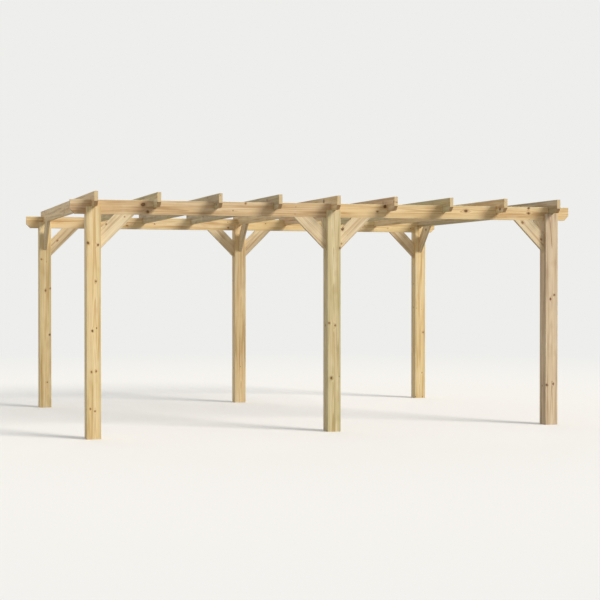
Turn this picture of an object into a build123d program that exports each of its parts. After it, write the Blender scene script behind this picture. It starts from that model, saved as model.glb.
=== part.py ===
from build123d import *
import math
import os

# Garden pergola: six slotted posts carry two beam lines and nine notched rafters.
# Units are millimetres. X runs along the beams, Y along the rafters and Z is up.
# The origin is on the ground at the middle of the plan.

# Planed timber sections
post_size = 145.0
beam_depth = 145.0
beam_thickness = 38.0
rafter_depth = 145.0
rafter_thickness = 38.0
brace_width = 145.0
brace_thickness = 38.0
arris_radius = 3.0

# Plan, between timber centre lines
bay_length = 2520.0
span = 3840.0
rafter_gaps_per_bay = 4

# Ground to the underside of the beams
clear_height = 2245.0

# How far the timber ends run past the outer faces of the corner posts
beam_overhang = 155.0
rafter_overhang = 160.0

# Corner taken off the lower edge of each free end, at 45 degrees
beam_end_cut = 50.0
rafter_end_cut = 48.0

# Joints: a rafter sits down over the beam by the lap, and the beam is notched for part of it
rafter_lap = 72.5
beam_notch_depth = 36.0
side_clearance = 0.5
butt_gap = 0.5

# Knee braces, from the post's face to the brace's outer tip under the timber it props
brace_leg = 350.0

# Levels
beam_top = clear_height + beam_depth
rafter_underside = beam_top - rafter_lap
post_height = rafter_underside
post_slot_depth = post_height - clear_height

# Notches and slots
post_slot_width = beam_thickness + 2 * side_clearance
beam_notch_width = rafter_thickness + 2 * side_clearance
rafter_notch_width = beam_thickness + 2 * side_clearance
rafter_notch_depth = rafter_lap - beam_notch_depth

# Lengths and spacing
half_post = post_size / 2
beam_end_x = bay_length + half_post + beam_overhang
rafter_end_y = span / 2 + half_post + rafter_overhang
rafter_spacing = bay_length / rafter_gaps_per_bay
rafter_count = 2 * rafter_gaps_per_bay + 1

# Posts stand in two rows of three
row_y = {"front": -span / 2, "rear": span / 2}
column_x = {"left": -bay_length, "middle": 0.0, "right": bay_length}
rafter_x = [rafter_spacing * (index - rafter_gaps_per_bay) for index in range(rafter_count)]

# The brace's centre line meets the post and the timber above it at this leg
brace_mid_leg = brace_leg - brace_width / math.sqrt(2)

os.makedirs("parts", exist_ok=True)


def save(piece, name):
    """Label a finished piece and write its file."""
    piece.part.label = name
    export_step(piece.part, f"parts/{name}.step")


def build_post(name, x, y):
    """Square post with a central slot across its head, where the beam drops in."""
    with BuildPart() as post:
        with BuildSketch(Plane((x, y, 0))):
            RectangleRounded(post_size, post_size, arris_radius)
        extrude(amount=post_height)
        with BuildSketch(Plane((x, y, post_height))):
            Rectangle(2 * post_size, post_slot_width)
        extrude(amount=-post_slot_depth, mode=Mode.SUBTRACT)
    save(post, name)


def build_beam(name, y, side):
    """Half of a beam line, from the middle post's centre to its free end.

    side is -1 for the left half and 1 for the right half.
    """
    joint_x = side * butt_gap / 2
    mid_height = clear_height + beam_depth / 2
    free_end = side * beam_end_x
    inner_end = Plane(origin=(joint_x, y, mid_height), x_dir=(0, 1, 0), z_dir=(side, 0, 0))
    side_view = Plane(origin=(0, y, 0), x_dir=(1, 0, 0), z_dir=(0, -1, 0))
    with BuildPart() as beam:
        with BuildSketch(inner_end):
            RectangleRounded(beam_thickness, beam_depth, arris_radius)
        extrude(amount=beam_end_x - butt_gap / 2)
        with BuildSketch(side_view):
            with Locations(*[(x, beam_top) for x in rafter_x]):
                Rectangle(beam_notch_width, 2 * beam_notch_depth)
            with BuildLine():
                Polyline(
                    (free_end, clear_height),
                    (free_end, clear_height + beam_end_cut),
                    (free_end - side * beam_end_cut, clear_height),
                    close=True,
                )
            make_face()
        extrude(amount=beam_thickness, both=True, mode=Mode.SUBTRACT)
    save(beam, name)


def build_rafter(name, x):
    """Rafter with its lower corners cut off and a notch over each beam."""
    mid_height = rafter_underside + rafter_depth / 2
    front_end = Plane(origin=(x, -rafter_end_y, mid_height), x_dir=(1, 0, 0), z_dir=(0, 1, 0))
    side_view = Plane(origin=(x, 0, 0), x_dir=(0, 1, 0), z_dir=(1, 0, 0))
    with BuildPart() as rafter:
        with BuildSketch(front_end):
            RectangleRounded(rafter_thickness, rafter_depth, arris_radius)
        extrude(amount=2 * rafter_end_y)
        with BuildSketch(side_view):
            with Locations(*[(y, rafter_underside) for y in row_y.values()]):
                Rectangle(rafter_notch_width, 2 * rafter_notch_depth)
            for end_y, inward in ((-rafter_end_y, 1), (rafter_end_y, -1)):
                with BuildLine():
                    Polyline(
                        (end_y, rafter_underside),
                        (end_y, rafter_underside + rafter_end_cut),
                        (end_y + inward * rafter_end_cut, rafter_underside),
                        close=True,
                    )
                make_face()
        extrude(amount=rafter_thickness, both=True, mode=Mode.SUBTRACT)
    save(rafter, name)


def build_brace(name, x, y, direction, soffit):
    """Knee brace: a length of board mitred to the post's face and to the timber above.

    direction is the level unit vector from the post towards the brace's outer tip,
    and soffit is the underside that the brace props.
    """
    level = Vector(*direction)
    post_face = Vector(x, y, 0) + level * half_post
    centre = post_face + level * (brace_mid_leg / 2) + Vector(0, 0, soffit - brace_mid_leg / 2)
    across = level.cross(Vector(0, 0, 1))
    with BuildPart() as brace:
        with BuildSketch(Plane(origin=centre, x_dir=across, z_dir=level + Vector(0, 0, 1))):
            RectangleRounded(brace_thickness, brace_width, arris_radius)
        extrude(amount=brace_leg, both=True)
        split(bisect_by=Plane(origin=(x, y, soffit)), keep=Keep.BOTTOM)
        split(bisect_by=Plane(origin=post_face, z_dir=level), keep=Keep.TOP)
    save(brace, name)


# Posts
for row, y in row_y.items():
    for column, x in column_x.items():
        build_post(f"post_{row}_{column}", x, y)

# Beams, two lengths to each line, butted inside the middle post's slot
for row, y in row_y.items():
    for half, side in (("left", -1), ("right", 1)):
        build_beam(f"beam_{row}_{half}", y, side)

# Rafters, numbered from the left
for number, x in enumerate(rafter_x, start=1):
    build_rafter(f"rafter_{number}", x)

# Braces in line with the beams: one inward from each corner post, two from each middle post
for row, y in row_y.items():
    for column, x in column_x.items():
        if x < bay_length:
            build_brace(f"beam_brace_{row}_{column}_right", x, y, (1, 0, 0), clear_height)
        if x > -bay_length:
            build_brace(f"beam_brace_{row}_{column}_left", x, y, (-1, 0, 0), clear_height)

# Braces in line with the rafters, one inward from every post
for row, inward in (("front", 1), ("rear", -1)):
    for column, x in column_x.items():
        build_brace(f"rafter_brace_{row}_{column}", x, row_y[row], (0, inward, 0), rafter_underside)
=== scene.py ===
from dataclasses import dataclass
import math
import random

import bpy
from mathutils import Matrix, Vector


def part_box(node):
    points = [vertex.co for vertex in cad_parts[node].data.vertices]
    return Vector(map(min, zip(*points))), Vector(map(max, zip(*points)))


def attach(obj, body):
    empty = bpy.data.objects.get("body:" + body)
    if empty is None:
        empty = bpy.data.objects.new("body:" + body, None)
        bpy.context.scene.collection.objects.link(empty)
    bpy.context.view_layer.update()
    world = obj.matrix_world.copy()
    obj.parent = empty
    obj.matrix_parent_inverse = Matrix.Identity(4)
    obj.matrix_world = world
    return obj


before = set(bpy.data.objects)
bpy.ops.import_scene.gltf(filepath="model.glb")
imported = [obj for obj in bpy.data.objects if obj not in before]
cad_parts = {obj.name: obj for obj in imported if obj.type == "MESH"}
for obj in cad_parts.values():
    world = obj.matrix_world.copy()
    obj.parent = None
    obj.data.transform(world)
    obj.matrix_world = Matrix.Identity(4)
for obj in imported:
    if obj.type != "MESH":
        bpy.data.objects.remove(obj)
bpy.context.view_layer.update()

# Garden pergola in planed, pressure-treated softwood. X runs along the beams, Y along the rafters, Z up.
# Lengths are metres, and colours are sRGB bytes. Angles are degrees at the camera and the lamps, and
# radians in the wood.
UP = Vector((0, 0, 1))
ALONG_X = Vector((1, 0, 0))
ALONG_Y = Vector((0, 1, 0))

# Rows of posts, each with its way along Y into the frame, and columns of posts
ROWS = {"front": 1, "rear": -1}
COLUMNS = ("left", "middle", "right")
NODES = sorted(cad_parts)
BRACES = [node for node in NODES if "brace" in node]
RAFTERS = [node for node in NODES if node.startswith("rafter") and node not in BRACES]
TIMBER_SEED = 2204
SCREW_SEED = 86

# The photograph's camera
CAMERA_PLACE = (-4.756, -16.150, 1.552)
CAMERA_YAW = 17.196
CAMERA_PITCH = -0.663
CAMERA_LENS_MM = 85.64
CAMERA_SENSOR_MM = 36.0
CAMERA_SEES_TO = 500


def linear(rgb):
    """Linear RGBA of an sRGB colour given in bytes."""
    steps = []
    for byte in rgb:
        value = byte / 255
        steps.append(value / 12.92 if value <= 0.04045 else ((value + 0.055) / 1.055) ** 2.4)
    return (*steps, 1.0)


KNOT_PALE = linear((176, 130, 78))
KNOT_DARK = linear((116, 86, 50))
KNOT_RIM = linear((68, 50, 29))
# Painted shade for the dark inside of cracks
CRACK_SHADE = linear((66, 50, 36))
# Pale tint for pale grain, and for the long edges, where it is partly rubbed wear and partly painted
# highlight
PALE_TINT = linear((246, 232, 200))
GREEN_TINT = linear((158, 158, 104))
GREY_TINT = linear((146, 138, 120))
END_EARLY = linear((222, 202, 162))
END_LATE = linear((172, 136, 92))
END_SLANTED = linear((168, 118, 68))

# Timber tones: sapwood, heartwood, latewood, then the shares of green and grey over them
TONES = {
    "straw": ((240, 216, 164), (226, 192, 134), (192, 152, 94), 0.16, 0.04),
    "olive": ((226, 209, 164), (210, 186, 134), (166, 140, 90), 0.34, 0.08),
    "ashen": ((228, 206, 174), (212, 182, 148), (164, 130, 98), 0.08, 0.22),
    # drab is a greyer tone, made a little darker as painted shade on the rafters that take it
    "drab": ((200, 180, 143), (186, 159, 120), (146, 116, 80), 0.24, 0.24),
    "rosy": ((222, 192, 148), (206, 166, 124), (168, 126, 84), 0.08, 0.10),
    "honey": ((240, 213, 163), (227, 192, 138), (186, 144, 92), 0.14, 0.06),
    "cream": ((238, 219, 182), (222, 198, 156), (184, 150, 110), 0.10, 0.08),
}

# Names that end in FIELD are noises drawn out along the grain: features a metre along it and across it,
# then a shift that sets one noise apart from another, detail and roughness. Names that end in STEP are
# smooth steps: the two values between which a share changes, then the share at each of them, where they
# aren't 0 and 1. Names that end in DRAW are numbers that set one random draw apart from another.

# Pith and rings
TRUNK_TAPER = 0.007
PITH_SWAYS_A_METRE = 0.9
PITH_SWAY_ACROSS = 0.012
PITH_SWAY_DEEP = 0.009
PITH_DEEP_DRAW = 7.3
RING_SWAY_FIELD = (2.2, 14.0, 0.0, 2.0)
RING_SWAY = 0.0022
RING_BULGE = 0.8
LARGEST_BULGING_KNOT = 0.010
PACES_A_METRE = 55.0
PACE_CHANGE = 1.3
PACE_DRAW = 3.1
LATEWOOD_START_STEP = (0.35, 0.90)
LATEWOOD_END_STEP = (0.93, 1.0, 1.0, 0.0)
LATEWOOD_OF_YEAR_STEP = (0.0, 1.0, 0.4, 1.0)
YEAR_DRAW = 1.7

# Knots. A branch leaves the pith, leans up the trunk and is fully grown at a distance from the pith.
KNOT_LEAN = 0.2
KNOT_GROWN_AT = 0.055
KNOT_SCATTER = 0.05
SCATTER_DRAW = 4.4
LEAST_KNOT = 0.0004
KNOT_FORMED_STEP = (0.0012, 0.0030)
OTHER_KNOTS_STEP = (0.45, 1.0, 0.0, 0.85)
KNOT_LEAST_STRETCH = 0.9
KNOT_MORE_STRETCH = 0.5
STRETCH_DRAW = 2.9
KNOT_NARROWING = 1.15
KNOT_WOBBLE_FIELD = (90.0, 90.0, 0.0, 2.0)
KNOT_WOBBLE = 0.26
KNOT_EDGE_STEP = (0.84, 1.02, 1.0, 0.0)
KNOT_TONE_DRIFT = 0.5
KNOT_TONE_STEP = (-0.2, 1.2)
TONE_DRAW = 8.1
WHORL_LIMIT_STEP = (0.7, 1.0, 1.0, 0.0)
BRANCH_LIMIT_STEP = (0.32, 0.5, 1.0, 0.0)
KNOT_PULL_REACH = 2.6

# Wood inside a knot, and the crack in it
KNOT_MOTTLE_FIELD = (120.0, 160.0, 1.1, 2.0)
KNOT_MOTTLE = 0.5
KNOT_RING_WIDTH = 0.0017
KNOT_RING_WANDER = 0.9
KNOT_RING_STEP = (0.2, 0.9, 0.0, 0.42)
KNOT_MIDDLE_STEP = (0.04, 0.20, 0.35, 0.0)
KNOT_CRACK_FIELD = (200.0, 200.0, 3.3)
KNOT_CRACK_WANDER = 0.0012
KNOT_CRACK_OFF_CENTRE = 0.25
KNOT_CRACK_WIDTH_STEP = (0.1, 0.6, 0.0005, 0.0)
KNOT_CRACK_BLUR = 0.0001
KNOT_CRACK_SHARE = 0.9
KNOT_CRACK_DRAW = 6.3

# Stain and rim round a knot. The rim's place and width, and the tail's length, are in knot radii.
KNOT_STAIN_STEP = (1.0, 2.8, 0.7, 0.0)
KNOT_CONTRAST_STEP = (0.0, 0.8, 0.2, 0.85)
RIM_PLACE = 0.93
RIM_WIDTH = 0.13
TAIL_LENGTH = 1.9
TAIL_WIDTH_STEP = (0.6, 2.6, 0.7, 0.2)
TAIL_SHARE = 0.7

# Grain between the knots
FIBRE_PUSH = 0.75
BAND_FIELD = (1.3, 32.0, 2.2, 2.0)
STREAK_FIELD = (1.6, 90.0, 0.0, 5.0, 0.7)
FIBRE_FIELD = (14.0, 620.0, 0.0, 2.0, 0.6)
CLOUD_FIELD = (1.5, 5.0, 5.1, 2.0)
MOTTLE_FIELD = (4.5, 11.0, 8.8, 2.0)
HEART_WANDER = 0.012
HEART_EDGE_STEP = (-0.006, 0.006, 1.0, 0.0)
LATEWOOD_SHARE = 0.6
DARK_BAND_STEP = (0.0, 0.42, 0.0, 0.75)
PALE_BAND_STEP = (-0.42, -0.05, 0.50, 0.0)
DARK_STREAK_STEP = (0.05, 0.6, 0.0, 0.75)
DARK_FIBRE_STEP = (0.05, 0.7, 0.0, 0.38)
DARK_MOTTLE_STEP = (0.05, 0.6, 0.0, 0.36)
PALE_MOTTLE_STEP = (-0.6, -0.05, 0.28, 0.0)

# Drying checks, and one long split. Their dark insides are painted shade.
CHECK_SPACING = 1.9
CHECK_WANDER = 0.35
CHECK_WANDERS_A_METRE = 0.8
CHECK_DRAW = 9.9
CHECKS_A_METRE = 1.3
CHECK_OPEN_STEP = (0.08, 0.45)
CHECK_WIDTH = 0.0015
CHECK_BLUR = 0.0002
CHECK_SHARE = 0.85
CRACK_FORMED_STEP = (0.0001, 0.0005)
SPLIT_FIELD = (6.0, 6.0)
SPLIT_WANDER = 0.003
SPLIT_END_STEP = (0.55, 1.0, 1.0, 0.0)
SPLIT_SIDE_STEP = (0.0, 0.1)
SPLIT_BLUR = 0.0003
SPLIT_STAIN_WIDTHS = 4.0
SPLIT_STAIN_LEAST = 0.0001
SPLIT_STAIN_SHARE = 0.45

# Weather, rubbed arrises with a painted highlight, and sawn ends
GREEN_ARRIS_WANDER = 0.012
GREEN_ARRIS_STEP = (0.004, 0.042, 0.35, 0.0)
GREEN_STREAKS = 0.5
GREEN_STEP = (-0.35, 0.6)
GREY_FIBRES = 0.4
GREY_STEP = (0.35, -0.5)
ARRIS_FIELD = (9.0, 40.0, 0.0, 2.0)
ARRIS_WANDER = 0.0025
ARRIS_STEP = (0.0012, 0.0055, 0.3, 0.0)
END_STEP = (0.45, 0.62)
END_SLANT_STEP = (0.75, 0.95, 0.55, 0.0)
END_SHARE = 0.85
END_SPLITS_A_RADIAN = 5.5
END_SPLIT_CHANGES_A_METRE = 7.0
END_SPLIT_STEP = (0.28, 0.5, 0.0, 0.5)

# Surface: what latewood, fibres, knots and ends add to the roughness of plain wood, then the heights of
# latewood, fibres, streaks, checks and knots, as shares of the relief's depth
WOOD_ROUGHNESS = 0.70
ADDED_ROUGHNESS = (-0.10, 0.06, -0.18, 0.12)
RELIEF_HEIGHTS = (0.35, 0.30, 0.25, -3.0, 0.6)
RELIEF_STRENGTH = 0.6
RELIEF_DEPTH = 0.0006
WOOD_SHINE = 0.35


class Graph:
    """Adds nodes to a shader tree. A value is a number, a colour, a vector or another node's output."""

    def __init__(self, tree):
        self.tree = tree

    def add(self, kind, **settings):
        node = self.tree.nodes.new(kind)
        for key, value in settings.items():
            setattr(node, key, value)
        return node

    def put(self, socket, value):
        if isinstance(value, bpy.types.NodeSocket):
            self.tree.links.new(value, socket)
        else:
            socket.default_value = value

    def fill(self, node, *values):
        """The node's outputs, with values put into its first inputs."""
        for socket, value in zip(node.inputs, values):
            self.put(socket, value)
        return node.outputs

    def math(self, operation, *values):
        return self.fill(self.add("ShaderNodeMath", operation=operation), *values)[0]

    def plus(self, *values):
        result = values[0]
        for value in values[1:]:
            result = self.math("ADD", result, value)
        return result

    def minus(self, first, second):
        return self.math("SUBTRACT", first, second)

    def times(self, *values):
        result = values[0]
        for value in values[1:]:
            result = self.math("MULTIPLY", result, value)
        return result

    def over(self, first, second):
        return self.math("DIVIDE", first, second)

    def length(self, first, second):
        return self.math("SQRT", self.plus(self.times(first, first), self.times(second, second)))

    def smooth(self, value, low, high, at_low=0.0, at_high=1.0):
        """Smooth step from at_low, where value is low, to at_high, where it is high."""
        node = self.add("ShaderNodeMapRange", interpolation_type="SMOOTHSTEP")
        return self.fill(node, value, low, high, at_low, at_high)[0]

    def bell(self, distance, width):
        """1 where distance is nought, falling to nothing a few widths away."""
        ratio = self.over(distance, width)
        return self.math("POWER", math.e, self.times(ratio, ratio, -1.0))

    def combine(self, x, y, z):
        return self.fill(self.add("ShaderNodeCombineXYZ"), x, y, z)[0]

    def coordinate(self, name):
        return self.add("ShaderNodeTexCoord").outputs[name]

    def vectors(self, operation, *vectors):
        """Outputs of a sum of vectors. The first is its vector, and Value its plain number."""
        return self.fill(self.add("ShaderNodeVectorMath", operation=operation), *vectors)

    def dot(self, first, second):
        return self.vectors("DOT_PRODUCT", first, second)["Value"]

    def noise(self, vector, detail=1.0, roughness=0.5):
        """Noise from -1 to 1 with features about one unit across."""
        node = self.add("ShaderNodeTexNoise")
        self.put(node.inputs["Vector"], vector)
        self.put(node.inputs["Scale"], 1.0)
        self.put(node.inputs["Detail"], detail)
        self.put(node.inputs["Roughness"], roughness)
        return self.math("MULTIPLY_ADD", node.outputs["Fac"], 2.0, -1.0)

    def chance(self, x, y, z):
        """An even random number from 0 to 1, the same wherever all three values are the same."""
        node = self.add("ShaderNodeTexWhiteNoise")
        self.put(node.inputs["Vector"], self.combine(x, y, z))
        return node.outputs["Value"]

    def mix(self, share, first, second):
        """Colour that goes from first to second as share goes from 0 to 1."""
        node = self.add("ShaderNodeMix", data_type="RGBA")
        self.put(node.inputs["Factor"], share)
        self.put(node.inputs[6], first)
        self.put(node.inputs[7], second)
        return node.outputs[2]

    def finish_surface(self, shader, kind="ShaderNodeOutputMaterial"):
        self.put(self.add(kind).inputs["Surface"], shader.outputs[0])


class Softwood(Graph):
    """A node group that cuts a timber out of a tree: growth rings round a pith, whorls of knots that
    branch from it, fibres, drying checks with painted shade in them, end grain, and rubbed arrises with a
    painted highlight.
    """

    NUMBERS = (
        "Along", "Across", "Deep", "Half Across", "Half Deep", "Pith Across", "Pith Deep", "Ring Width",
        "Heart Radius", "Whorl Along", "Whorl Reach", "Whorl Size", "Whorl Turn", "Whorl Branches",
        "Whorl Tone", "Twin Share", "Twin Rise", "Seed", "Green", "Grey", "Checks", "Split Along",
        "Split Reach", "Split Turn", "Split Slant", "Split Width",
    )
    COLOURS = ("Sapwood", "Heartwood", "Latewood")

    def __init__(self):
        super().__init__(bpy.data.node_groups.new("softwood", "ShaderNodeTree"))
        self.add_sockets()
        self.given = self.add("NodeGroupInput").outputs
        self.along = self.given["Along"]
        self.across = self.given["Across"]
        self.deep = self.given["Deep"]
        self.seed = self.given["Seed"]
        self.find_pith()
        self.grow_knots()
        self.grow_rings()
        self.lay_fibres()
        self.open_checks()
        self.open_split()
        self.find_arrises()
        colour = self.colour_grain()
        colour = self.weather(colour)
        colour = self.stain_and_shade_cracks(colour)
        colour = self.colour_knots(colour)
        colour = self.cut_ends(colour)
        colour = self.rub_and_highlight_arrises(colour)
        self.write_outputs(colour)

    def add_sockets(self):
        face = self.tree.interface
        for name in self.NUMBERS:
            face.new_socket(name, in_out="INPUT", socket_type="NodeSocketFloat")
        for name in self.COLOURS:
            face.new_socket(name, in_out="INPUT", socket_type="NodeSocketColor")
        face.new_socket("Along Direction", in_out="INPUT", socket_type="NodeSocketVector")
        face.new_socket("Colour", in_out="OUTPUT", socket_type="NodeSocketColor")
        face.new_socket("Roughness", in_out="OUTPUT", socket_type="NodeSocketFloat")
        face.new_socket("Normal", in_out="OUTPUT", socket_type="NodeSocketVector")

    def grain_noise(self, along_scale, cross_scale, shift=0.0, detail=1.0, roughness=0.5):
        """Noise drawn out along the grain. The scales are features a metre along it and across it."""
        along = self.times(self.along, along_scale)
        across = self.times(self.fibre_across, cross_scale)
        deep = self.plus(self.times(self.fibre_deep, cross_scale), self.seed, shift)
        return self.noise(self.combine(along, across, deep), detail, roughness)

    def crack(self, distance, width, blur):
        """1 in the middle of a crack, falling to 0 at a blur beyond its width."""
        return self.smooth(distance, self.times(width, 0.5), self.plus(width, blur), 1.0, 0.0)

    def find_pith(self):
        """Distance and direction from the pith, which wanders a little along the timber."""
        self.fibre_across = self.across
        self.fibre_deep = self.deep
        slow = self.times(self.along, PITH_SWAYS_A_METRE)
        sway_across = self.times(self.noise(self.combine(slow, self.seed, 0.0)), PITH_SWAY_ACROSS)
        sway_deep = self.times(self.noise(self.combine(slow, self.seed, PITH_DEEP_DRAW)), PITH_SWAY_DEEP)
        from_across = self.minus(self.minus(self.across, self.given["Pith Across"]), sway_across)
        from_deep = self.minus(self.minus(self.deep, self.given["Pith Deep"]), sway_deep)
        self.radius = self.length(from_across, from_deep)
        self.turn = self.math("ARCTAN2", from_deep, from_across)

    def grow_knots(self):
        self.find_branch()
        self.place_knot()
        self.size_knot()
        self.outline_knot()
        self.find_near_knot()

    def find_branch(self):
        """The whorl's nearest branch. The whorl gives its first branch and the second, called its twin,
        and the others are left to chance.
        """
        branches = self.given["Whorl Branches"]
        self.whorl = self.given["Whorl Along"]
        self.sector = self.over(math.tau, branches)
        steps = self.over(self.minus(self.turn, self.given["Whorl Turn"]), self.sector)
        nearest = self.math("ROUND", steps)
        self.off_branch = self.minus(steps, nearest)
        self.branch = self.math("FLOORED_MODULO", nearest, branches)
        self.first = self.math("COMPARE", self.branch, 0.0, 0.5)
        self.twin = self.math("COMPARE", self.branch, 1.0, 0.5)
        self.other = self.minus(self.minus(1.0, self.first), self.twin)

    def branch_chance(self, draw):
        return self.chance(self.branch, self.whorl, draw)

    def place_knot(self):
        """Place along and across the timber from the branch's axis."""
        scatter = self.times(self.minus(self.branch_chance(SCATTER_DRAW), 0.5), KNOT_SCATTER)
        rise = self.plus(self.times(self.twin, self.given["Twin Rise"]), self.times(self.other, scatter))
        lean = self.plus(self.times(self.radius, KNOT_LEAN), rise)
        self.knot_along = self.minus(self.minus(self.along, self.whorl), lean)
        off_axis = self.times(self.off_branch, self.sector)
        self.knot_across = self.times(self.radius, self.math("SINE", off_axis))

    def size_knot(self):
        """The branch's radius and tone here."""
        twin_share = self.times(self.twin, self.given["Twin Share"])
        others_share = self.smooth(self.branch_chance(self.seed), *OTHER_KNOTS_STEP)
        share = self.plus(self.first, twin_share, self.times(self.other, others_share))
        grown = self.math("MINIMUM", self.over(self.radius, KNOT_GROWN_AT), 1.0)
        size = self.times(self.given["Whorl Size"], share, grown)
        self.knot_there = self.smooth(size, *KNOT_FORMED_STEP)
        self.knot_size = self.math("MAXIMUM", size, LEAST_KNOT)
        drift = self.times(self.minus(self.branch_chance(TONE_DRAW), 0.5), KNOT_TONE_DRIFT)
        tone = self.plus(self.given["Whorl Tone"], self.times(drift, self.other))
        self.knot_tone = self.smooth(tone, *KNOT_TONE_STEP)

    def outline_knot(self):
        """Distance from the branch's axis, uneven like its outline, and the share of knot in the wood."""
        more_stretch = self.times(self.branch_chance(STRETCH_DRAW), KNOT_MORE_STRETCH)
        along = self.over(self.knot_along, self.plus(KNOT_LEAST_STRETCH, more_stretch))
        reach = self.length(along, self.times(self.knot_across, KNOT_NARROWING))
        wobble = self.times(self.grain_noise(*KNOT_WOBBLE_FIELD), KNOT_WOBBLE)
        self.knot_reach = self.times(reach, self.plus(1.0, wobble))
        self.knot_ratio = self.over(self.knot_reach, self.knot_size)
        self.knot = self.times(self.smooth(self.knot_ratio, *KNOT_EDGE_STEP), self.knot_there)

    def find_near_knot(self):
        """Shares of the branch's own part of the wood, and of its pull on the grain there."""
        whorl_reach = self.given["Whorl Reach"]
        off_whorl = self.over(self.math("ABSOLUTE", self.minus(self.along, self.whorl)), whorl_reach)
        by_whorl = self.smooth(off_whorl, *WHORL_LIMIT_STEP)
        by_branch = self.smooth(self.math("ABSOLUTE", self.off_branch), *BRANCH_LIMIT_STEP)
        self.own = self.times(by_whorl, by_branch, self.knot_there)
        pull_reach = self.times(self.knot_size, KNOT_PULL_REACH)
        spread = self.math("MINIMUM", pull_reach, self.times(whorl_reach, 0.5))
        self.near_knot = self.times(self.bell(self.knot_reach, spread), self.own)

    def grow_rings(self):
        """Share of latewood, in rings that bulge round the knots."""
        sway = self.times(self.grain_noise(*RING_SWAY_FIELD), RING_SWAY)
        bulging_size = self.math("MINIMUM", self.knot_size, LARGEST_BULGING_KNOT)
        self.calm_radius = self.plus(self.radius, self.times(self.along, TRUNK_TAPER), sway)
        ring_radius = self.plus(self.calm_radius, self.times(self.near_knot, bulging_size, -RING_BULGE))
        pace = self.noise(self.combine(self.times(ring_radius, PACES_A_METRE), self.seed, PACE_DRAW))
        rings = self.plus(self.over(ring_radius, self.given["Ring Width"]), self.times(pace, PACE_CHANGE))
        year = self.math("FLOOR", rings)
        season = self.minus(rings, year)
        start = self.smooth(season, *LATEWOOD_START_STEP)
        end = self.smooth(season, *LATEWOOD_END_STEP)
        depth = self.smooth(self.chance(year, self.seed, YEAR_DRAW), *LATEWOOD_OF_YEAR_STEP)
        self.late = self.times(self.times(start, end), depth)

    def lay_fibres(self):
        """Streaks and fibres that part round the knots, and slow changes of tone."""
        push = self.times(self.knot_across, self.near_knot, FIBRE_PUSH)
        self.fibre_across = self.plus(self.across, self.times(push, self.math("SINE", self.turn)))
        self.fibre_deep = self.minus(self.deep, self.times(push, self.math("COSINE", self.turn)))
        self.band = self.grain_noise(*BAND_FIELD)
        self.streak = self.grain_noise(*STREAK_FIELD)
        self.fibre = self.grain_noise(*FIBRE_FIELD)
        self.cloud = self.grain_noise(*CLOUD_FIELD)
        self.mottle = self.grain_noise(*MOTTLE_FIELD)

    def open_checks(self):
        """Narrow drying cracks along the grain, on radial lines from the pith."""
        slow = self.times(self.along, CHECK_WANDERS_A_METRE)
        wander = self.noise(self.combine(slow, self.seed, CHECK_DRAW), detail=2.0)
        turn = self.plus(self.minus(self.turn, self.seed), self.times(wander, CHECK_WANDER))
        steps = self.over(turn, CHECK_SPACING)
        line = self.math("ROUND", steps)
        side = self.times(self.minus(steps, line), CHECK_SPACING)
        distance = self.math("ABSOLUTE", self.times(self.radius, self.math("SINE", side)))
        opening = self.noise(self.combine(self.times(self.along, CHECKS_A_METRE), line, self.seed))
        width = self.times(self.smooth(opening, *CHECK_OPEN_STEP), self.given["Checks"], CHECK_WIDTH)
        crack = self.crack(distance, width, CHECK_BLUR)
        self.check = self.times(crack, self.smooth(width, *CRACK_FORMED_STEP))

    def open_split(self):
        """One longer split at a given place, stained along its sides and tapered to its ends."""
        step = self.over(self.minus(self.along, self.given["Split Along"]), self.given["Split Reach"])
        slant = self.times(step, self.given["Split Slant"])
        off_turn = self.minus(self.turn, self.plus(self.given["Split Turn"], slant))
        side = self.times(self.radius, self.math("SINE", off_turn))
        wander = self.times(self.grain_noise(*SPLIT_FIELD), SPLIT_WANDER)
        distance = self.math("ABSOLUTE", self.plus(side, wander))
        left = self.smooth(self.math("ABSOLUTE", step), *SPLIT_END_STEP)
        width = self.times(self.given["Split Width"], left)
        ahead = self.smooth(self.math("COSINE", off_turn), *SPLIT_SIDE_STEP)
        opened = self.times(self.smooth(width, *CRACK_FORMED_STEP), ahead)
        stain_width = self.plus(self.times(width, SPLIT_STAIN_WIDTHS), SPLIT_STAIN_LEAST)
        self.split_stain = self.times(self.bell(distance, stain_width), opened)
        crack = self.times(self.crack(distance, width, SPLIT_BLUR), opened)
        self.check = self.math("MAXIMUM", self.check, crack)

    def find_arrises(self):
        """Distance from the nearest long edge."""
        off_side = self.minus(self.given["Half Across"], self.math("ABSOLUTE", self.across))
        off_face = self.minus(self.given["Half Deep"], self.math("ABSOLUTE", self.deep))
        self.from_arris = self.math("MAXIMUM", off_side, off_face)

    def colour_grain(self):
        heart_edge = self.plus(self.calm_radius, self.times(self.cloud, HEART_WANDER))
        heart_share = self.smooth(self.minus(heart_edge, self.given["Heart Radius"]), *HEART_EDGE_STEP)
        latewood = self.given["Latewood"]
        colour = self.mix(heart_share, self.given["Sapwood"], self.given["Heartwood"])
        colour = self.mix(self.times(self.late, LATEWOOD_SHARE), colour, latewood)
        layers = (
            (self.band, DARK_BAND_STEP, latewood),
            (self.band, PALE_BAND_STEP, PALE_TINT),
            (self.streak, DARK_STREAK_STEP, latewood),
            (self.fibre, DARK_FIBRE_STEP, latewood),
            (self.mottle, DARK_MOTTLE_STEP, latewood),
            (self.mottle, PALE_MOTTLE_STEP, PALE_TINT),
        )
        for field, step, tint in layers:
            colour = self.mix(self.smooth(field, *step), colour, tint)
        return colour

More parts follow.
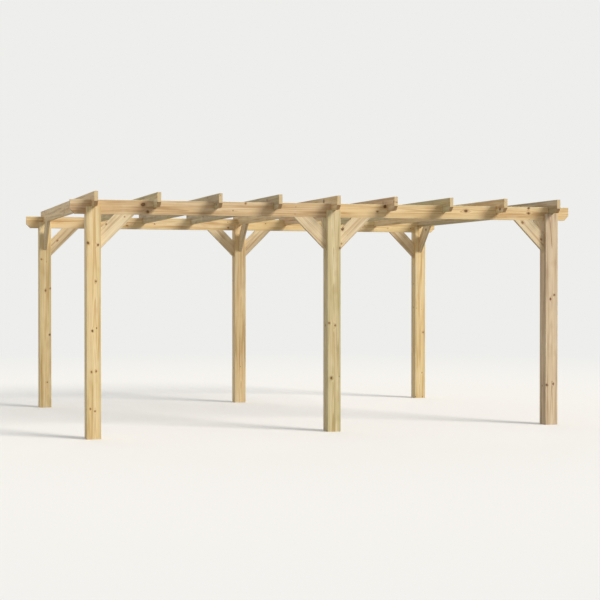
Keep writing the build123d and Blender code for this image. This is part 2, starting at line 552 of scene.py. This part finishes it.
    def weather(self, colour):
        """Green, most of all along the arrises, and grey."""
        ragged = self.plus(self.from_arris, self.times(self.band, GREEN_ARRIS_WANDER))
        arris = self.smooth(ragged, *GREEN_ARRIS_STEP)
        green = self.plus(self.cloud, self.times(self.streak, GREEN_STREAKS), arris)
        green = self.times(self.plus(self.smooth(green, *GREEN_STEP), arris), self.given["Green"])
        colour = self.mix(green, colour, GREEN_TINT)
        grey = self.smooth(self.plus(self.cloud, self.times(self.fibre, GREY_FIBRES)), *GREY_STEP)
        return self.mix(self.times(grey, self.given["Grey"]), colour, GREY_TINT)

    def stain_and_shade_cracks(self, colour):
        # The split's sides are stained, and the dark inside the checks and the split is painted shade
        colour = self.mix(self.times(self.split_stain, SPLIT_STAIN_SHARE), colour, KNOT_PALE)
        return self.mix(self.times(self.check, CHECK_SHARE), colour, CRACK_SHADE)

    def colour_knots(self, colour):
        """Knots with a dark rim, and stained wood round them that tails off along the grain."""
        self.knot_colour = self.colour_knot_wood()
        contrast = self.smooth(self.knot_tone, *KNOT_CONTRAST_STEP)
        stain = self.times(self.near_knot, self.smooth(self.knot_ratio, *KNOT_STAIN_STEP))
        tail = self.times(self.knot_tail(), self.own, contrast)
        from_rim = self.minus(self.knot_ratio, RIM_PLACE)
        rim = self.times(self.bell(from_rim, RIM_WIDTH), self.knot_there, contrast)
        colour = self.mix(stain, colour, self.given["Latewood"])
        colour = self.mix(self.times(tail, TAIL_SHARE), colour, KNOT_PALE)
        colour = self.mix(self.knot, colour, self.knot_colour)
        return self.mix(rim, colour, KNOT_RIM)

    def colour_knot_wood(self):
        """A knot's own rings round a dark middle, with a crack through them."""
        mottle = self.grain_noise(*KNOT_MOTTLE_FIELD)
        wander = self.times(mottle, KNOT_RING_WANDER)
        rings = self.plus(self.over(self.knot_reach, KNOT_RING_WIDTH), wander)
        darkening = self.smooth(self.math("FRACT", rings), *KNOT_RING_STEP)
        middle = self.smooth(self.knot_ratio, *KNOT_MIDDLE_STEP)
        tone = self.smooth(self.plus(self.knot_tone, self.times(mottle, KNOT_MOTTLE)), 0.0, 1.0)
        colour = self.mix(tone, KNOT_PALE, KNOT_DARK)
        colour = self.mix(self.plus(darkening, middle), colour, KNOT_RIM)
        # Painted shade: the dark inside of the knot's crack
        return self.mix(self.times(self.knot_crack(), KNOT_CRACK_SHARE), colour, CRACK_SHADE)

    def knot_tail(self):
        """Share of the stain that runs out of a knot along the grain and narrows on its way."""
        off_knot = self.math("ABSOLUTE", self.over(self.knot_along, self.knot_size))
        width = self.times(self.knot_size, self.smooth(off_knot, *TAIL_WIDTH_STEP))
        length = self.times(self.knot_size, TAIL_LENGTH)
        return self.times(self.bell(self.knot_across, width), self.bell(self.knot_along, length))

    def knot_crack(self):
        """A fine crooked crack from a little off a knot's centre towards its rim."""
        turn = self.times(self.branch_chance(KNOT_CRACK_DRAW), math.tau)
        cosine = self.math("COSINE", turn)
        sine = self.math("SINE", turn)
        ahead = self.plus(self.times(self.knot_across, cosine), self.times(self.knot_along, sine))
        aside = self.minus(self.times(self.knot_across, sine), self.times(self.knot_along, cosine))
        wander = self.times(self.grain_noise(*KNOT_CRACK_FIELD), KNOT_CRACK_WANDER)
        distance = self.math("ABSOLUTE", self.plus(aside, wander))
        from_middle = self.minus(self.over(ahead, self.knot_size), KNOT_CRACK_OFF_CENTRE)
        width = self.smooth(self.math("ABSOLUTE", from_middle), *KNOT_CRACK_WIDTH_STEP)
        return self.crack(distance, width, KNOT_CRACK_BLUR)

    def cut_ends(self, colour):
        """End grain on faces cut across the timber, paler when cut square, with fine radial splits."""
        square = self.math("ABSOLUTE", self.dot(self.coordinate("Normal"), self.given["Along Direction"]))
        self.end = self.smooth(square, *END_STEP)
        round_pith = self.times(self.turn, END_SPLITS_A_RADIAN)
        outwards = self.times(self.radius, END_SPLIT_CHANGES_A_METRE)
        splits = self.noise(self.combine(round_pith, outwards, self.seed), detail=3.0, roughness=0.7)
        sawn = self.mix(self.times(self.late, LATEWOOD_SHARE), END_EARLY, END_LATE)
        sawn = self.mix(self.smooth(square, *END_SLANT_STEP), sawn, END_SLANTED)
        # Painted shade: the dark inside of the fine radial splits
        sawn = self.mix(self.smooth(splits, *END_SPLIT_STEP), sawn, CRACK_SHADE)
        sawn = self.mix(self.knot, sawn, self.knot_colour)
        return self.mix(self.times(self.end, END_SHARE), colour, sawn)

    def rub_and_highlight_arrises(self, colour):
        """Pale long edges: uneven rubbed wear, and partly a painted highlight where the rounded arris
        catches light.
        """
        uneven = self.times(self.grain_noise(*ARRIS_FIELD), ARRIS_WANDER)
        rubbed_and_lit = self.smooth(self.plus(self.from_arris, uneven), *ARRIS_STEP)
        return self.mix(rubbed_and_lit, colour, PALE_TINT)

    def weigh(self, fields, weights):
        return [self.times(field, weight) for field, weight in zip(fields, weights)]

    def write_outputs(self, colour):
        roughening = self.weigh((self.late, self.fibre, self.knot, self.end), ADDED_ROUGHNESS)
        rough = self.plus(WOOD_ROUGHNESS, *roughening)
        raised = (self.late, self.fibre, self.streak, self.check, self.knot)
        height = self.plus(*self.weigh(raised, RELIEF_HEIGHTS))
        bump = self.add("ShaderNodeBump")
        self.put(bump.inputs["Strength"], RELIEF_STRENGTH)
        self.put(bump.inputs["Distance"], RELIEF_DEPTH)
        self.put(bump.inputs["Height"], height)
        out = self.add("NodeGroupOutput").inputs
        self.put(out["Colour"], colour)
        self.put(out["Roughness"], rough)
        self.put(out["Normal"], bump.outputs[0])


SOFTWOOD = Softwood().tree

# The most that a whorl's values can be, because they are looked up as numbers from 0 to 1
LARGEST_KNOT = 0.05
LARGEST_RISE = 0.10
LARGEST_REACH = 0.40
MOST_BRANCHES = 16


@dataclass
class Whorl:
    """Knots that leave the pith together.

    along is their place on the pith, size the radius of the first, turn its direction, branches how many
    places for knots there are round the pith, and tone how dark they are. twin_share and twin_rise are
    the second knot's size and its step along the timber, against the first.
    """

    along: float
    size: float
    turn: float
    branches: int
    tone: float
    twin_share: float
    twin_rise: float


def aimed_whorl(pith, deep, along, across, size, branches, tone, twin_share=0.2, twin_rise=0.0):
    """Whorl whose first branch comes out of the timber at the point (along, across, deep)."""
    off_across = across - pith[0]
    off_deep = deep - pith[1]
    start = along - KNOT_LEAN * math.hypot(off_across, off_deep)
    turn = math.atan2(off_deep, off_across) % math.tau
    return Whorl(start, size, turn, branches, tone, twin_share, twin_rise)


# Ranges for random whorls. Sizes are shares of the largest size, and steps are shares of the spacing.
RANDOM_SIZES = (0.35, 1.0)
RANDOM_BRANCHES = (5, 8)
RANDOM_TONES = (0.1, 1.0)
RANDOM_TWIN_SHARES = (0.2, 0.9)
RANDOM_TWIN_RISES = (-0.03, 0.03)
RANDOM_STEPS = (0.6, 1.4)


def random_whorls(dice, length, spacing, largest, taken=()):
    """Whorls at uneven steps along a timber, clear of the places that are taken."""
    whorls = []
    along = -length / 2 - dice.uniform(0, spacing)
    while along < length / 2:
        whorl = Whorl(
            along=along,
            size=largest * dice.uniform(*RANDOM_SIZES),
            turn=dice.uniform(0, math.tau),
            branches=dice.randint(*RANDOM_BRANCHES),
            tone=dice.uniform(*RANDOM_TONES),
            twin_share=dice.uniform(*RANDOM_TWIN_SHARES),
            twin_rise=dice.uniform(*RANDOM_TWIN_RISES),
        )
        if all(abs(along - other.along) > spacing / 2 for other in taken):
            whorls.append(whorl)
        along += spacing * dice.uniform(*RANDOM_STEPS)
    return whorls


def lookup(g, place, starts, rows):
    """Four outputs: the numbers, from 0 to 1, of the last row that starts before the place."""
    ramp = g.add("ShaderNodeValToRGB")
    ramp.color_ramp.interpolation = "CONSTANT"
    g.put(ramp.inputs[0], place)
    stops = ramp.color_ramp.elements
    stops.remove(stops[-1])
    for number, (start, row) in enumerate(zip(starts, rows)):
        stop = stops.new(start) if number else stops[0]
        stop.position = start
        stop.color = row
    parts = g.add("ShaderNodeSeparateColor")
    g.put(parts.inputs[0], ramp.outputs["Color"])
    return (*parts.outputs[:3], ramp.outputs["Alpha"])


def nearest_whorl(g, along, whorls, length):
    """Outputs with the nearest whorl's values, looked up along the timber."""
    whorls = sorted(whorls, key=lambda whorl: whorl.along)
    gaps = [other.along - one.along for one, other in zip(whorls, whorls[1:])]
    starts = [0.0] + [max(0.0, (w.along + gap / 2) / length + 0.5) for w, gap in zip(whorls, gaps)]
    reaches = [min(near) / 2 for near in zip([LARGEST_REACH * 2, *gaps], [*gaps, LARGEST_REACH * 2])]
    place = g.math("MULTIPLY_ADD", along, 1 / length, 0.5)
    centre, size, turn, branches = lookup(g, place, starts, [
        (w.along / length + 0.5, w.size / LARGEST_KNOT, w.turn / math.tau, w.branches / MOST_BRANCHES)
        for w in whorls
    ])
    tone, twin_share, twin_rise, clear = lookup(g, place, starts, [
        (w.tone, w.twin_share, w.twin_rise / LARGEST_RISE + 0.5, min(reach / LARGEST_REACH, 1.0))
        for w, reach in zip(whorls, reaches)
    ])
    return {
        "Whorl Along": g.times(g.minus(centre, 0.5), length),
        "Whorl Reach": g.times(clear, LARGEST_REACH),
        "Whorl Size": g.times(size, LARGEST_KNOT),
        "Whorl Turn": g.times(turn, math.tau),
        "Whorl Branches": g.math("ROUND", g.times(branches, MOST_BRANCHES)),
        "Whorl Tone": tone,
        "Twin Share": twin_share,
        "Twin Rise": g.times(g.minus(twin_rise, 0.5), LARGEST_RISE),
    }


def new_material(name):
    """An empty material, and the graph that fills it."""
    material = bpy.data.materials.new(name)
    material.use_nodes = True
    material.node_tree.nodes.clear()
    return material, Graph(material.node_tree)


def timber_material(name, centre, along, across, size, look):
    """A timber's material. along and across are unit vectors, and size is length, width and thickness."""
    material, g = new_material(name)
    from_centre = g.vectors("SUBTRACT", g.coordinate("Object"), centre)[0]
    place = g.dot(from_centre, along)
    values = {
        "Along": place,
        "Across": g.dot(from_centre, across),
        "Deep": g.dot(from_centre, along.cross(across)),
        "Half Across": size[1] / 2,
        "Half Deep": size[2] / 2,
        "Along Direction": along,
    }
    values.update(nearest_whorl(g, place, look["whorls"], size[0]))
    values.update(look["inputs"])
    group = g.add("ShaderNodeGroup", node_tree=SOFTWOOD)
    for key, value in values.items():
        g.put(group.inputs[key], value)
    shader = g.add("ShaderNodeBsdfPrincipled")
    g.put(shader.inputs["Specular IOR Level"], WOOD_SHINE)
    g.put(shader.inputs["Base Color"], group.outputs["Colour"])
    g.put(shader.inputs["Roughness"], group.outputs["Roughness"])
    g.put(shader.inputs["Normal"], group.outputs["Normal"])
    g.finish_surface(shader)
    return material


# Knots that the photograph shows plainly. Each row is a knot's place along the timber from its middle,
# its place across the seen face and its radius, then its whorl's branches and tone, and its twin's share
# and rise where those are set too.
SEEN_KNOTS = {
    "post_front_left": (
        (0.795, -0.052, 0.0105, 5, 0.6, 0.9, -0.016),
        (0.414, 0.018, 0.0080, 5, 0.5, 0.0, 0.0),
        (-0.079, -0.014, 0.0095, 10, 1.0, 0.55, 0.029),
        (-0.487, -0.023, 0.0075, 9, 0.5, 1.0, 0.009),
        (-0.854, -0.036, 0.0070, 10, 0.4, 1.1, -0.021),
    ),
    "post_front_middle": (
        (0.765, 0.070, 0.0095, 5, 0.8, 0.3, 0.020),
        (-0.020, -0.060, 0.0085, 6, 0.6, 1.0, -0.021),
        (-0.596, -0.031, 0.0110, 5, 0.9, 0.3, 0.012),
    ),
    "post_front_right": (
        (0.223, -0.017, 0.0110, 9, 1.0, 0.8, 0.044),
        (-0.721, -0.058, 0.0110, 6, 0.9, 0.8, 0.015),
    ),
    "beam_front_left": (
        (-0.639, 0.0255, 0.0150, 6, 0.8, 0.8, 0.050),
        (0.296, -0.0215, 0.0055, 5, 0.5),
        (0.430, 0.0550, 0.0070, 5, 0.3),
    ),
    "beam_front_right": (
        (-0.873, -0.0065, 0.0080, 5, 0.5),
        (-0.788, 0.0495, 0.0165, 5, 0.9),
        (0.145, 0.0175, 0.0150, 5, 1.0),
        (0.891, 0.0635, 0.0110, 8, 0.9, 1.1, 0.002),
    ),
    "rafter_5": ((-1.700, 0.033, 0.0160, 5, 1.0, 0.3, 0.0),),
    "rafter_6": ((-1.812, 0.023, 0.0100, 6, 0.3, 0.8, 0.030),),
    "rafter_8": ((-2.046, -0.038, 0.0125, 5, 0.9, 0.3, 0.0),),
    "beam_brace_front_left_right": ((-0.027, -0.063, 0.0060, 5, 0.2), (0.159, 0.017, 0.0065, 5, 0.3)),
    "beam_brace_front_middle_right": ((-0.179, 0.035, 0.0070, 5, 0.1), (-0.058, -0.066, 0.0120, 5, 1.0)),
    "beam_brace_front_right_left": ((0.163, 0.024, 0.0130, 5, 0.4),),
}

# Long splits that the photograph shows: place along the timber, place across the seen face, half length,
# sideways drift over that half, and width
SEEN_SPLITS = {"post_front_right": (0.945, -0.012, 0.19, -0.018, 0.0024)}

TONE_OF = {
    "post_front_left": "straw", "post_front_middle": "olive", "post_front_right": "ashen",
    "post_rear_left": "straw", "post_rear_middle": "honey", "post_rear_right": "straw",
    "beam_front_left": "rosy", "beam_front_right": "honey",
    "beam_rear_left": "honey", "beam_rear_right": "straw",
    "rafter_1": "honey", "rafter_2": "olive", "rafter_3": "drab", "rafter_4": "drab", "rafter_5": "honey",
    "rafter_6": "rosy", "rafter_7": "olive", "rafter_8": "honey", "rafter_9": "drab",
}

# Posts are sawn round the pith, and boards beside it. Pith places are ranges that the dice draw from.
POST_GRAIN = {"Ring Width": 0.0048, "Heart Radius": 0.050, "Checks": 1.0}
POST_PITH_ACROSS = (-0.012, 0.012)
POST_PITH_DEEP = (-0.018, 0.006)
POST_WHORL_SPACING = 0.42
POST_WHORL_SIZE = 0.012
BOARD_GRAIN = {"Ring Width": 0.0050, "Heart Radius": 0.055, "Checks": 0.4}
BOARD_PITH_ACROSS = (-0.03, 0.03)
BOARD_PITH_BEHIND = (0.03, 0.06)
BOARD_WHORL_SPACING = 0.50
BOARD_WHORL_SIZE = 0.013
FAINT_WHORL_SIZE = 0.005
LARGEST_SEED = 50


def timber_look(dice, tone, pith, grain, whorls):
    """A timber's own inputs, and its whorls. The split's reach of 1 stands in where there is no split."""
    sapwood, heartwood, latewood, green, grey = TONES[tone]
    inputs = {
        **grain, "Pith Across": pith[0], "Pith Deep": pith[1], "Seed": dice.uniform(0, LARGEST_SEED),
        "Sapwood": linear(sapwood), "Heartwood": linear(heartwood), "Latewood": linear(latewood),
        "Green": green, "Grey": grey, "Split Reach": 1.0,
    }
    return {"inputs": inputs, "whorls": whorls}


def split_inputs(pith, deep, along, across, reach, drift, width):
    """Inputs for a split round the point (along, across, deep). reach is half its length, and drift its
    step sideways over that.
    """
    off_across = across - pith[0]
    off_deep = deep - pith[1]
    return {
        "Split Along": along,
        "Split Reach": reach,
        "Split Turn": math.atan2(off_deep, off_across),
        "Split Slant": drift / math.hypot(off_across, off_deep),
        "Split Width": width,
    }


def post_look(dice, node, size):
    """A post has the pith near its middle. Its seen face is the front."""
    seen_face = -size[2] / 2
    pith = (dice.uniform(*POST_PITH_ACROSS), dice.uniform(*POST_PITH_DEEP))
    whorls = [aimed_whorl(pith, seen_face, *knot) for knot in SEEN_KNOTS.get(node, ())]
    if not whorls:
        whorls = random_whorls(dice, size[0], POST_WHORL_SPACING, POST_WHORL_SIZE)
    look = timber_look(dice, TONE_OF[node], pith, POST_GRAIN, whorls)
    if node in SEEN_SPLITS:
        look["inputs"].update(split_inputs(pith, seen_face, *SEEN_SPLITS[node]))
    return look


def board_look(dice, node, size, tone, seen_side):
    """A board is sawn to one side of the pith, which lies beyond the face away from the seen side."""
    pith = (dice.uniform(*BOARD_PITH_ACROSS), -seen_side * dice.uniform(*BOARD_PITH_BEHIND))
    seen = [aimed_whorl(pith, seen_side * size[2] / 2, *knot) for knot in SEEN_KNOTS.get(node, ())]
    largest = FAINT_WHORL_SIZE if len(seen) > 1 else BOARD_WHORL_SIZE
    others = random_whorls(dice, size[0], BOARD_WHORL_SPACING, largest, seen)
    return timber_look(dice, tone, pith, BOARD_GRAIN, seen + others)


def dress(node, centre, along, across, size, look):
    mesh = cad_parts[node].data
    mesh.materials.clear()
    mesh.materials.append(timber_material(f"{node}_wood", centre, along, across, size, look))


def middle_and_size(node):
    low, high = (Vector(corner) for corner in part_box(node))
    return (low + high) / 2, high - low


def dress_post(dice, node):
    centre, reach = middle_and_size(node)
    size = (reach.z, reach.x, reach.y)
    dress(node, centre, UP, ALONG_X, size, post_look(dice, node, size))


def dress_beam(dice, node):
    centre, reach = middle_and_size(node)
    size = (reach.x, reach.z, reach.y)
    dress(node, centre, ALONG_X, UP, size, board_look(dice, node, size, TONE_OF[node], 1))


def dress_rafter(dice, node):
    centre, reach = middle_and_size(node)
    size = (reach.y, reach.z, reach.x)
    dress(node, centre, ALONG_Y, UP, size, board_look(dice, node, size, TONE_OF[node], -1))


def brace_slope(node):
    """Lower and upper tips of a brace's sloping underside, and the level way outwards from its post."""
    _, row, column, *_ = node.removeprefix("beam_").removeprefix("rafter_").split("_")
    level = ALONG_X if node.startswith("beam_") else ALONG_Y
    centre, reach = middle_and_size(node)
    post_centre, _ = middle_and_size(f"post_{row}_{column}")
    outward = level * math.copysign(1, (centre - post_centre).dot(level))
    half = (outward + UP) * reach.z / 2
    return centre - half, centre + half, outward


def dress_brace(dice, node):
    """A brace is cut from the rafters' board and rises at 45 degrees from its post. Its seen side looks
    to the front or to the left.
    """
    lower, upper, outward = brace_slope(node)
    thickness, _, width = middle_and_size("rafter_1")[1]
    facing = (outward - UP).normalized()
    size = ((upper - lower).length, width, thickness)
    centre = (lower + upper) / 2 - facing * width / 2
    seen_side = -math.copysign(1, UP.cross(outward).dot(ALONG_X + ALONG_Y))
    look = board_look(dice, node, size, "cream", seen_side)
    dress(node, centre, (outward + UP).normalized(), facing, size, look)


def dress_timbers():
    dice = random.Random(TIMBER_SEED)
    for node in NODES:
        if node in BRACES:
            dress_brace(dice, node)
        elif node in RAFTERS:
            dress_rafter(dice, node)
        elif node.startswith("beam"):
            dress_beam(dice, node)
        else:
            dress_post(dice, node)


# Countersunk screws. The rings run from the shank up over the rim and down the recess: radius, depth of
# the lobes and height over the timber.
SCREW_SIDES = 24
SCREW_LOBES = 6
SCREW_RINGS = (
    (0.0026, 0.0, -0.0040),
    (0.0056, 0.0, -0.0003),
    (0.0053, 0.0, 0.0004),
    (0.0024, 0.0004, 0.0004),
    (0.0021, 0.0004, -0.0016),
)
BRACE_SCREW_STEPS = (0.055, 0.095)
POST_SCREW_STEP = 0.036
ZINC_DULL = linear((140, 136, 126))
ZINC_BRIGHT = linear((184, 180, 168))
ZINC_SPOTS_A_METRE = 700.0
ZINC_TONE_STEP = (-0.6, 0.6)
ZINC_ROUGHNESS_STEP = (-0.6, 0.6, 0.52, 0.34)


def steel_material():
    """Dull zinc plating, mottled by handling."""
    material, g = new_material("zinc_plate")
    place = g.vectors("MULTIPLY", g.coordinate("Object"), (ZINC_SPOTS_A_METRE,) * 3)[0]
    cloud = g.noise(place, detail=3.0, roughness=0.6)
    shader = g.add("ShaderNodeBsdfPrincipled")
    g.put(shader.inputs["Metallic"], 1.0)
    g.put(shader.inputs["Base Color"], g.mix(g.smooth(cloud, *ZINC_TONE_STEP), ZINC_DULL, ZINC_BRIGHT))
    g.put(shader.inputs["Roughness"], g.smooth(cloud, *ZINC_ROUGHNESS_STEP))
    g.finish_surface(shader)
    return material


def screw_points(seat, turned):
    """Rings of points of one screw head."""
    points = []
    for radius, lobe, height in SCREW_RINGS:
        for step in range(SCREW_SIDES):
            angle = math.tau * step / SCREW_SIDES
            reach = radius + lobe * math.cos(SCREW_LOBES * angle)
            point = Vector((reach * math.cos(angle), reach * math.sin(angle), height))
            points.append(seat + turned @ point)
    return points


def screw_faces(first):
    """Faces between one screw head's rings and over both ends. first is its first point's number."""
    faces = []
    last_ring = first + SCREW_SIDES * (len(SCREW_RINGS) - 1)
    for ring in range(first, last_ring, SCREW_SIDES):
        for step in range(SCREW_SIDES):
            one = ring + step
            other = ring + (step + 1) % SCREW_SIDES
            faces.append((one, other, other + SCREW_SIDES, one + SCREW_SIDES))
    faces.append(tuple(range(first + SCREW_SIDES - 1, first - 1, -1)))
    faces.append(tuple(range(last_ring, last_ring + SCREW_SIDES)))
    return faces


def drive_screws(dice, name, seats, steel):
    """A screw head at each seat: a point on a timber's face, and the way that face looks."""
    points = []
    faces = []
    for seat, facing in seats:
        spin = Matrix.Rotation(dice.uniform(0, math.tau), 3, "Z")
        faces += screw_faces(len(points))
        points += screw_points(seat, facing.to_track_quat("Z", "Y").to_matrix() @ spin)
    mesh = bpy.data.meshes.new(name)
    mesh.from_pydata(points, [], faces)
    mesh.materials.append(steel)
    piece = bpy.data.objects.new(name, mesh)
    bpy.context.scene.collection.objects.link(piece)
    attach(piece, "root")


def brace_screw_seats():
    """Two screws near each end of a brace, square to its sloping underside."""
    seats = []
    for node in BRACES:
        lower, upper, outward = brace_slope(node)
        slope = (upper - lower).normalized()
        facing = (outward - UP).normalized()
        for step in BRACE_SCREW_STEPS:
            seats.append((lower + slope * step, facing))
            seats.append((upper - slope * step, facing))
    return seats


def rafter_screw_seats():
    """One screw down through each rafter into each beam line."""
    seats = []
    for node in RAFTERS:
        centre, reach = middle_and_size(node)
        for row in ROWS:
            beam_centre, _ = middle_and_size(f"beam_{row}_left")
            seats.append((Vector((centre.x, beam_centre.y, centre.z + reach.z / 2)), UP))
    return seats


def post_screw_seats():
    """Two screws from inside the frame, through each post's slotted head into the beams."""
    seats = []
    for row, inward in ROWS.items():
        beam_centre, beam_reach = middle_and_size(f"beam_{row}_left")
        slot_floor = beam_centre.z - beam_reach.z / 2
        for column in COLUMNS:
            centre, reach = middle_and_size(f"post_{row}_{column}")
            height = (slot_floor + centre.z + reach.z / 2) / 2
            for step in (-POST_SCREW_STEP, POST_SCREW_STEP):
                seat = Vector((centre.x + step, centre.y + inward * reach.y / 2, height))
                seats.append((seat, ALONG_Y * inward))
    return seats


def fix_timbers():
    dice = random.Random(SCREW_SEED)
    steel = steel_material()
    drive_screws(dice, "brace_screws", brace_screw_seats(), steel)
    drive_screws(dice, "rafter_screws", rafter_screw_seats(), steel)
    drive_screws(dice, "post_screws", post_screw_seats(), steel)


# Floor and backdrop. Between the two distances of its fade, the floor is lost in the backdrop.
FLOOR_SIZE = 160.0
FLOOR_FADE = (6.0, 16.0)
BACKDROP = linear((238, 238, 236))
FLOOR_SEEN = linear((239, 238, 235))
FLOOR_BOUNCE = linear((158, 152, 142))
SKY_LIGHT = linear((189, 190, 192))

# Far lamps: turn from the front towards the right, height over the floor, spread, strength and colour
LAMPS = {
    "key": (43, 33, 24, 2.75, (255, 250, 242)),
    "fill": (184, 20, 70, 0.8, (250, 250, 250)),
}


def camera_share(g):
    """1 for rays from the camera, straight, by a mirror or through glass, and 0 for the rest."""
    rays = g.add("ShaderNodeLightPath").outputs
    shown = g.math("MAXIMUM", rays["Is Glossy Ray"], rays["Is Transmission Ray"])
    return g.math("MAXIMUM", rays["Is Camera Ray"], shown)


def floor_material():
    """Pale matt floor that keeps the shadow and fades into the backdrop far from the object."""
    material, g = new_material("pale_floor")
    seen = camera_share(g)
    matt = g.add("ShaderNodeBsdfDiffuse")
    g.put(matt.inputs["Color"], g.mix(seen, FLOOR_BOUNCE, FLOOR_SEEN))
    backdrop = g.add("ShaderNodeEmission")
    g.put(backdrop.inputs["Color"], BACKDROP)
    distance = g.vectors("LENGTH", g.coordinate("Object"))["Value"]
    blend = g.add("ShaderNodeMixShader")
    g.fill(blend, g.times(g.smooth(distance, *FLOOR_FADE), seen), matt.outputs[0], backdrop.outputs[0])
    g.finish_surface(blend)
    return material


def lay_floor():
    half = FLOOR_SIZE / 2
    corners = [(-half, -half, 0), (half, -half, 0), (half, half, 0), (-half, half, 0)]
    mesh = bpy.data.meshes.new("floor")
    mesh.from_pydata(corners, [], [(0, 1, 2, 3)])
    mesh.materials.append(floor_material())
    floor = bpy.data.objects.new("floor", mesh)
    bpy.context.scene.collection.objects.link(floor)


def light_sky():
    sky = bpy.data.worlds.new("studio")
    sky.use_nodes = True
    sky.node_tree.nodes.clear()
    bpy.context.scene.world = sky
    g = Graph(sky.node_tree)
    background = g.add("ShaderNodeBackground")
    g.put(background.inputs["Color"], g.mix(camera_share(g), SKY_LIGHT, BACKDROP))
    g.finish_surface(background, "ShaderNodeOutputWorld")


def hang_lamps():
    for name, (turn, height, spread, strength, colour) in LAMPS.items():
        light = bpy.data.lights.new(name, "SUN")
        light.energy = strength
        light.angle = math.radians(spread)
        light.color = linear(colour)[:3]
        lamp = bpy.data.objects.new(name, light)
        lamp.rotation_euler = (math.radians(90 - height), 0, math.radians(turn))
        bpy.context.scene.collection.objects.link(lamp)


def set_camera():
    lens = bpy.data.cameras.new("photo_camera")
    lens.lens = CAMERA_LENS_MM
    lens.sensor_width = CAMERA_SENSOR_MM
    lens.clip_end = CAMERA_SEES_TO
    eye = bpy.data.objects.new("photo_camera", lens)
    eye.location = CAMERA_PLACE
    eye.rotation_euler = (math.radians(90 + CAMERA_PITCH), 0, math.radians(-CAMERA_YAW))
    bpy.context.scene.collection.objects.link(eye)
    bpy.context.scene.camera = eye


dress_timbers()
fix_timbers()
lay_floor()
light_sky()
hang_lamps()
set_camera()
bpy.context.scene.view_settings.view_transform = "Standard"
